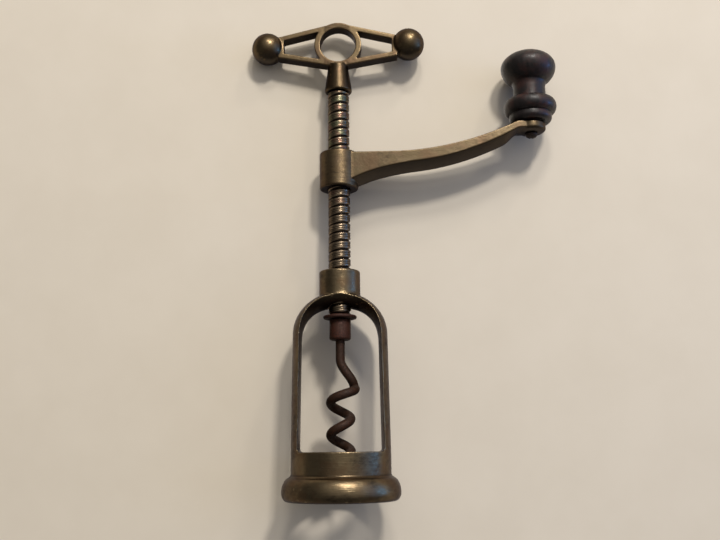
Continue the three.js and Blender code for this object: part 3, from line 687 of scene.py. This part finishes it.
def worm_holder():
    """The bush below the washer, with a pocket for the spindle's stub and a bore for the worm's shank."""
    rounding = HOLDER_ROUNDING
    outline = [
        (WIRE_RADIUS + CLEARANCE, HOLDER_BOTTOM),
        *arc(HOLDER_RADIUS - rounding, HOLDER_BOTTOM + rounding, rounding, rounding, -90, 0, steps=8),
        (HOLDER_RADIUS, HOLDER_TOP - HOLDER_BREAK),
        (HOLDER_RADIUS - HOLDER_BREAK, HOLDER_TOP),
        (STUB_RADIUS + CLEARANCE, HOLDER_TOP),
        (STUB_RADIUS + CLEARANCE, HOLDER_TOP - HOLDER_POCKET),
        (WIRE_RADIUS + CLEARANCE, HOLDER_TOP - HOLDER_POCKET),
    ]
    return lathe("worm_socket", outline, SMALL_STEPS)


def worm_centre(height):
    """Where the wire's middle is at a height: down the shank, through the bend and round the coils."""
    drop = WORM_START - height
    rise = clamp(-drop / (WORM_BEND_TOP - WORM_START))
    radius = mix(WORM_FIRST_RADIUS, WORM_RADIUS, smooth(drop / WORM_FIRST_DROP)) * (1 - smooth(rise))
    turn = min(drop, WORM_FIRST_DROP) / (2 * WORM_FIRST_DROP) + max(0, drop - WORM_FIRST_DROP) / WORM_PITCH
    angle = -turn * FULL_TURN * (1 - rise) ** WORM_SWING
    return Vector((radius * math.cos(angle), radius * math.sin(angle), height))


def worm():
    """The bent and wound wire, as a round section swept along its middle and ground to a point."""
    heights = [mix(SHANK_TOP, WORM_TIP, step / WORM_STEPS) for step in range(WORM_STEPS + 1)]
    path = [worm_centre(height) for height in heights]
    across = Vector((1, 0, 0))
    rings = []
    for index, point in enumerate(path):
        along = (path[min(WORM_STEPS, index + 1)] - path[max(0, index - 1)]).normalized()
        across = (across - along * across.dot(along)).normalized()
        up = along.cross(across)
        taper = clamp((point.z - WORM_TIP) / TIP_LENGTH)
        radius = mix(TIP_RADIUS, WIRE_RADIUS, math.sqrt(taper))
        ring = []
        for side in range(WIRE_SIDES):
            angle = FULL_TURN * side / WIRE_SIDES
            ring.append(point + across * radius * math.cos(angle) + up * radius * math.sin(angle))
        rings.append(ring)
    return loft("wire_worm", rings)


def ring_end(start, end):
    """Where a bar's inner line leaves the eyelet's outer circle, on the side of +X."""
    line = end - start
    from_centre = start - Vector((0, EYELET_HEIGHT))
    a = line.length_squared
    b = 2 * from_centre.dot(line)
    c = from_centre.length_squared - EYELET_RADIUS**2
    return start + line * ((-b + math.sqrt(b * b - 4 * a * c)) / (2 * a))


def handle():
    """The upper handle: a socket on the spindle, a ring with a hole, and four bars out to two balls."""
    top = EYELET_HEIGHT + EYELET_RADIUS
    low = EYELET_HEIGHT - EYELET_RADIUS
    top_end = top - BAR_TOP_DROP
    low_end = low + BAR_BOTTOM_RISE
    right = [(BAR_END, low_end), (BAR_END, top_end)]
    outline = [(-BAR_END, low_end), (0, low), *right, (0, top), (-BAR_END, top_end)]
    upper = (Vector((0, top - BAR_THICKNESS)), Vector((BAR_END, top_end - BAR_THICKNESS)))
    lower = (Vector((0, low + BAR_THICKNESS)), Vector((BAR_END, low_end + BAR_THICKNESS)))
    upper_start = ring_end(*upper)
    lower_start = ring_end(*lower)
    angles = [math.degrees(math.atan2(p.y - EYELET_HEIGHT, p.x)) for p in (upper_start, lower_start)]
    window = arc(0, EYELET_HEIGHT, EYELET_RADIUS, EYELET_RADIUS, angles[0], angles[1], steps=24)
    window += [tuple(line[0].lerp(line[1], WINDOW_END / BAR_END)) for line in (lower, upper)]
    mirrored = [(-x, z) for x, z in reversed(window)]
    ring, hole = [
        arc(0, EYELET_HEIGHT, radius, radius, 0, 360 - 360 / EYELET_STEPS, steps=EYELET_STEPS - 1)
        for radius in (EYELET_RADIUS, EYELET_HOLE_RADIUS)
    ]
    socket = lathe("socket", [
        (0, SOCKET_BOTTOM),
        (SOCKET_MOUTH_RADIUS - BREAK, SOCKET_BOTTOM),
        (SOCKET_MOUTH_RADIUS, SOCKET_BOTTOM + BREAK),
        *[(mix(SOCKET_MOUTH_RADIUS, SOCKET_TOP_RADIUS, narrow), mix(SOCKET_BOTTOM, SOCKET_TOP, along))
          for along, narrow in SOCKET_WAIST],
        (SOCKET_TOP_RADIUS, SOCKET_TOP),
        (0, SOCKET_TOP),
    ], SMALL_STEPS)
    stub_end = SOCKET_BOTTOM + STUB_IN_SOCKET + CLEARANCE
    stub_hole = bore("bore", STUB_RADIUS + CLEARANCE, SOCKET_BOTTOM, stub_end)
    balls = [
        lathe("ball", [
            (max(0, r), z) for r, z in arc(0, height, BALL_RADIUS, BALL_RADIUS, -90, 90, steps=48)
        ], SMALL_STEPS, side * HANDLE_REACH)
        for side, height in zip((-1, 1), BALL_HEIGHTS)
    ]
    body = prism("handle_casting", outline, HANDLE_DEPTH)
    joined(body, "UNION", prism("ring", ring, HANDLE_DEPTH))
    joined(body, "DIFFERENCE", *[prism("window", side, HANDLE_DEPTH * 2) for side in (window, mirrored)])
    joined(body, "UNION", socket)
    joined(body, "DIFFERENCE", prism("hole", hole, HANDLE_DEPTH * 2))
    joined(body, "UNION", *balls)
    joined(body, "DIFFERENCE", stub_hole)
    return softened(body, *HANDLE_CAST)


def arm_section(along):
    """The arm's cut at a distance from the spindle: flat top and sides, over an underside that swells."""
    eye_start = CRANK_RADIUS - EYE_RADIUS
    climb = clamp((along - ARM_FLAT_END) / (eye_start - ARM_FLAT_END))
    top = mix(HUB_TOP - ARM_TOP_DROP, EYE_TOP - ARM_END_DROP, climb**2)
    root = math.sqrt(HUB_RADIUS**2 - ARM_HALF_DEPTH**2)
    gone = clamp((along - root) / ARM_GUSSET)
    far = clamp(along / eye_start)
    plain = mix(ARM_THICKNESS, ARM_END_THICKNESS, far**3)
    crease = top - plain - (ARM_ROOT_THICKNESS - ARM_THICKNESS) * (1 - gone) ** 2
    half_depth = mix(ARM_HALF_DEPTH, ARM_END_HALF_DEPTH, far)
    belly = mix(ARM_BELLY, ARM_END_BELLY, smooth((along - eye_start + EYE_RADIUS) / EYE_RADIUS))
    shares = [step / BELLY_STEPS for step in range(-BELLY_STEPS, BELLY_STEPS + 1)]
    under = [(half_depth * share, crease - belly * (1 - abs(share) ** BELLY_POWER)) for share in shares]
    return [(along, y, z) for y, z in [(half_depth, top), (-half_depth, top), *under]]


def crank():
    """The crank: a hub round the spindle, an arm that climbs outwards, and an eye for the knob's screw."""
    hub = lathe("crank_casting", [
        (0, HUB_BOTTOM),
        (HUB_RADIUS - BREAK, HUB_BOTTOM),
        (HUB_RADIUS, HUB_BOTTOM + BREAK),
        (HUB_RADIUS, HUB_TOP - BREAK),
        (HUB_RADIUS - BREAK, HUB_TOP),
        (0, HUB_TOP),
    ], ROUND_STEPS)
    spindle_hole = bore("bore", SPINDLE_RADIUS + CLEARANCE / 2, HUB_BOTTOM, HUB_TOP + CUT_PAST)
    dome = EYE_TOP - EYE_BOTTOM - EYE_RIM
    eye = lathe("eye", [
        (0, EYE_BOTTOM),
        *arc(SCREW_HEAD_RADIUS, EYE_BOTTOM + dome, EYE_RADIUS - SCREW_HEAD_RADIUS, dome, -90, 0, steps=10),
        (EYE_RADIUS, EYE_TOP - BREAK),
        (EYE_RADIUS - BREAK, EYE_TOP),
        (0, EYE_TOP),
    ], SMALL_STEPS, CRANK_RADIUS)
    screw_hole = bore("hole", SCREW_RADIUS + CLEARANCE, EYE_BOTTOM, EYE_TOP + CUT_PAST, CRANK_RADIUS)
    places = [mix(ARM_START, CRANK_RADIUS, station / ARM_STATIONS) for station in range(ARM_STATIONS + 1)]
    joined(hub, "UNION", loft("arm", [arm_section(along) for along in places]), eye)
    joined(hub, "DIFFERENCE", spindle_hole, screw_hole)
    return softened(hub, *CRANK_CAST)


def crank_knob():
    """The turned knob: from below a foot, a bead, a neck that flares and a bulb, with a blind hole."""
    foot = EYE_TOP + CLEARANCE
    screw_hole = SCREW_RADIUS + CLEARANCE
    hole_end = foot + SCREW_IN_KNOB + CLEARANCE
    bead_middle = foot + KNOB_FOOT_HEIGHT + KNOB_BEAD_HEIGHT / 2
    neck_low = foot + KNOB_FOOT_HEIGHT + KNOB_BEAD_HEIGHT
    bulb = foot + KNOB_BULB_HEIGHT
    bead_width = KNOB_BEAD_RADIUS - KNOB_FOOT_RADIUS
    outline = [
        (0, hole_end),
        (screw_hole, hole_end),
        (screw_hole, foot),
        *arc(KNOB_FOOT_RADIUS - KNOB_FOOT_ROUNDING, foot + KNOB_FOOT_ROUNDING, KNOB_FOOT_ROUNDING,
             KNOB_FOOT_ROUNDING, -90, 0, steps=12),
        *arc(KNOB_FOOT_RADIUS - KNOB_FOOT_EDGE_WIDTH, foot + KNOB_FOOT_HEIGHT - KNOB_FOOT_EDGE_HEIGHT,
             KNOB_FOOT_EDGE_WIDTH, KNOB_FOOT_EDGE_HEIGHT, 0, 70, steps=4),
        *arc(KNOB_FOOT_RADIUS - KNOB_BEAD_OVERLAP, bead_middle, bead_width + KNOB_BEAD_OVERLAP,
             KNOB_BEAD_HEIGHT / 2, -80, 68, steps=20),
        *arc(KNOB_NECK_RADIUS + KNOB_NECK_FILLET, neck_low + KNOB_NECK_FILLET_RISE, KNOB_NECK_FILLET,
             KNOB_NECK_FILLET, 220, 180, steps=5),
        (KNOB_NECK_RADIUS, foot + KNOB_NECK_HEIGHT - KNOB_NECK_PLAIN_DROP),
        *arc(KNOB_NECK_RADIUS + KNOB_FLARE_WIDTH, foot + KNOB_NECK_HEIGHT + KNOB_FLARE_RISE, KNOB_FLARE_WIDTH,
             KNOB_FLARE_HEIGHT, 180, 150, steps=8),
        *arc(0, bulb, KNOB_BULB_RADIUS, KNOB_BULB_UNDER_HEIGHT, -48, 0, steps=26),
        *arc(0, bulb, KNOB_BULB_RADIUS, KNOB_BULB_TOP_HEIGHT, 0, 90, steps=30)[1:],
    ]
    outline[-1] = (0, outline[-1][1])
    return lathe("turned_knob", outline, SMALL_STEPS, CRANK_RADIUS)


def knob_screw():
    """The screw that holds the knob from below, with a slot across its round head."""
    seat = EYE_BOTTOM - CLEARANCE
    tip = EYE_TOP + CLEARANCE + SCREW_IN_KNOB
    screw = lathe("slotted_screw", [
        (0, seat - SCREW_HEAD_HEIGHT),
        *arc(0, seat, SCREW_HEAD_RADIUS, SCREW_HEAD_HEIGHT, -84, 0, steps=12),
        (SCREW_RADIUS, seat),
        (SCREW_RADIUS, tip - SCREW_POINT),
        (0, tip),
    ], SCREW_STEPS, CRANK_RADIUS)
    left = CRANK_RADIUS - SCREW_SLOT_WIDTH / 2
    right = CRANK_RADIUS + SCREW_SLOT_WIDTH / 2
    below = seat - SCREW_HEAD_HEIGHT - CUT_PAST
    floor = seat - SCREW_HEAD_HEIGHT * SCREW_SLOT_FLOOR
    cut = [(left, below), (right, below), (right, floor), (left, floor)]
    return joined(screw, "DIFFERENCE", prism("slot", cut, 2 * SCREW_HEAD_RADIUS + CUT_PAST))


def make_camera():
    """The photograph's camera, from its distance, height, pan, tilt and roll."""
    camera = bpy.data.objects.new("camera", bpy.data.cameras.new("camera"))
    bpy.context.scene.collection.objects.link(camera)
    camera.data.sensor_width = SENSOR_WIDTH
    camera.data.lens = SENSOR_WIDTH * FOCAL_PIXELS / PHOTO_WIDTH
    camera.data.clip_start = CAMERA_NEAR
    pan, tilt, roll = CAMERA_PAN, CAMERA_TILT, CAMERA_ROLL
    ahead = Vector((math.sin(pan) * math.cos(tilt), math.cos(pan) * math.cos(tilt), math.sin(tilt)))
    right = Vector((math.cos(pan), -math.sin(pan), 0))
    up = right.cross(ahead)
    rolled_right = right * math.cos(roll) + up * math.sin(roll)
    rolled_up = up * math.cos(roll) - right * math.sin(roll)
    turn = Matrix((rolled_right, rolled_up, -ahead)).transposed().to_4x4()
    camera.matrix_world = Matrix.Translation((AXIS.x, -CAMERA_DISTANCE, CAMERA_HEIGHT)) @ turn
    bpy.context.scene.camera = camera


def make_sheet():
    """The pale table top that the tool lies on, touching its foot and its knob.

    It throws no shadow, and from behind it is clear.
    """
    contact_low = Vector((FLARE_RADIUS, FLARE_WIDEST)) * MM
    contact_high = Vector((KNOB_BULB_RADIUS, 0)) * MM
    contact_high += Vector((KNOB_AXIS.y, (EYE_TOP + CLEARANCE + KNOB_BULB_HEIGHT) * MM))
    lean = (contact_high - contact_low).normalized()
    points = []
    for across, along in ((-1, -1), (1, -1), (1, 1), (-1, 1)):
        place = contact_low + lean * along * SHEET_REACH
        points.append((across * SHEET_REACH, place.x, place.y))
    mesh = bpy.data.meshes.new("sheet")
    mesh.from_pydata(points, [], [(0, 1, 2, 3)])
    sheet = bpy.data.objects.new("sheet", mesh)
    bpy.context.scene.collection.objects.link(sheet)
    nodes = Nodes("pale_sheet")
    paper = nodes.add("ShaderNodeBsdfDiffuse")
    tone = nodes.colours(nodes.ramp(nodes.noise(SHEET_MOTTLE, detail=3), *GRAIN_LEVELS), *SHEET_TONES)
    nodes.link(tone, paper.inputs["Color"])
    clear = nodes.add("ShaderNodeBsdfTransparent")
    either = nodes.add("ShaderNodeMath", operation="MAXIMUM")
    nodes.link(nodes.add("ShaderNodeNewGeometry").outputs["Backfacing"], either.inputs[0])
    nodes.link(nodes.add("ShaderNodeLightPath").outputs["Is Shadow Ray"], either.inputs[1])
    blend = nodes.add("ShaderNodeMixShader")
    nodes.link(either.outputs[0], blend.inputs["Fac"])
    nodes.link(paper.outputs[0], blend.inputs[1])
    nodes.link(clear.outputs[0], blend.inputs[2])
    nodes.link(blend.outputs[0], nodes.tree.nodes["Material Output"].inputs["Surface"])
    nodes.tree.nodes.remove(nodes.shader)
    mesh.materials.append(nodes.material)


def soft_lamp(name, place, size, power, colour):
    """A round lamp that the camera doesn't see, turned to the tool's middle."""
    light = bpy.data.lights.new(name, "AREA")
    light.shape = "DISK"
    light.size = size
    light.energy = power
    light.color = colour
    lamp = bpy.data.objects.new(name, light)
    bpy.context.scene.collection.objects.link(lamp)
    lamp.location = place
    lamp.visible_camera = False
    lamp.rotation_mode = "QUATERNION"
    lamp.rotation_quaternion = (Vector(LAMP_TARGET) - Vector(place)).to_track_quat("-Z", "Y")


def make_lights():
    """The soft lamps, and a dim warm room that is brighter on one side."""
    for lamp in LAMPS:
        soft_lamp(*lamp)
    world = bpy.data.worlds.new("room")
    bpy.context.scene.world = world
    world.use_nodes = True
    tree = world.node_tree
    tree.nodes.clear()
    output = tree.nodes.new("ShaderNodeOutputWorld")
    room = tree.nodes.new("ShaderNodeBackground")
    room.inputs["Color"].default_value = ROOM_COLOUR
    place = tree.nodes.new("ShaderNodeTexCoord")
    towards = tree.nodes.new("ShaderNodeVectorMath")
    towards.operation = "DOT_PRODUCT"
    towards.inputs[1].default_value = ROOM_BRIGHT_SIDE
    level = tree.nodes.new("ShaderNodeMapRange")
    level.interpolation_type = "SMOOTHSTEP"
    level.inputs["From Min"].default_value = ROOM_EDGE
    level.inputs["From Max"].default_value = 1
    level.inputs["To Min"].default_value, level.inputs["To Max"].default_value = ROOM_STRENGTHS
    tree.links.new(place.outputs["Generated"], towards.inputs[0])
    tree.links.new(towards.outputs["Value"], level.inputs["Value"])
    tree.links.new(level.outputs["Result"], room.inputs["Strength"])
    tree.links.new(room.outputs[0], output.inputs["Surface"])


make_camera()
cage_brass = old_metal(
    "cage_brass", cast=(0.16, 0.121, 0.071), lathed=(0.16, 0.121, 0.071), dark=(0.044, 0.033, 0.022),
    edge=(0.19, 0.145, 0.09), gloss=0.28, radius=ALL_LATHED,
    tints_and_reflections=((6, EVERYWHERE, (0.12, 0.075, 0.042)),), blotch=0.4)
crank_brass = old_metal(
    "crank_brass", cast=(0.1, 0.075, 0.044), lathed=(0.135, 0.098, 0.054), dark=(0.046, 0.034, 0.023),
    edge=(0.07, 0.047, 0.027), gloss=0.32, radius=7.1,
    tints_and_reflections=((2.5, EVERYWHERE, (0.125, 0.096, 0.06)), (5, EVERYWHERE, (0.09, 0.056, 0.034))))
handle_brass = old_metal(
    "handle_brass", cast=(0.118, 0.086, 0.048), lathed=(0.056, 0.04, 0.023), dark=(0.048, 0.034, 0.02),
    edge=(0.13, 0.092, 0.05), gloss=0.3, radius=5.1,
    tints_and_reflections=((4, EVERYWHERE, (0.085, 0.052, 0.032)),))
# The red and green spots on the spindle's upper thread are painted reflections, not a colour of its metal
spindle_metal = old_metal(
    "spindle_metal", cast=(0.1, 0.076, 0.05), lathed=(0.1, 0.076, 0.05), dark=(0.026, 0.019, 0.014),
    edge=(0.26, 0.2, 0.14), gloss=0.26, radius=3,
    tints_and_reflections=((3, 100, (0.17, 0.062, 0.05)), (4, 118, (0.08, 0.125, 0.07))))
washer_rust = rusty_iron(
    "washer_rust", red=(0.055, 0.016, 0.008), brown=(0.034, 0.013, 0.008), dark=(0.01, 0.006, 0.005), depth=0.1)
holder_rust = rusty_iron(
    "holder_rust", red=(0.062, 0.016, 0.007), brown=(0.033, 0.012, 0.006),
    dark=(0.01, 0.006, 0.005), depth=0.12)
worm_iron = rusty_iron(
    "worm_iron", red=(0.05, 0.016, 0.005), brown=(0.017, 0.008, 0.004), dark=(0.006, 0.004, 0.003), depth=0.06)
screw_iron = rusty_iron(
    "screw_iron", red=(0.04, 0.021, 0.014), brown=(0.026, 0.017, 0.013), dark=(0.01, 0.008, 0.007), depth=0.04)
knob_wood = turned_wood(
    "knob_wood", dark=(0.005, 0.004, 0.004), light=(0.012, 0.008, 0.008), worn=(0.03, 0.011, 0.009))

finished(frame_cage(), "frame", "frame_cage", cage_brass, turned=False)
finished(crank(), "crank", "crank", crank_brass)
finished(stop_washer(), "washer", "stop_washer", washer_rust)
finished(spindle(), "spindle", "spindle", spindle_metal)
finished(handle(), "spindle", "handle", handle_brass)
finished(worm_holder(), "spindle", "worm_holder", holder_rust)
finished(worm(), "spindle", "worm", worm_iron)
finished(crank_knob(), "knob", "crank_knob", knob_wood)
finished(knob_screw(), "knob", "knob_screw", screw_iron)

make_sheet()
make_lights()
bpy.context.scene.view_settings.view_transform = "Standard"
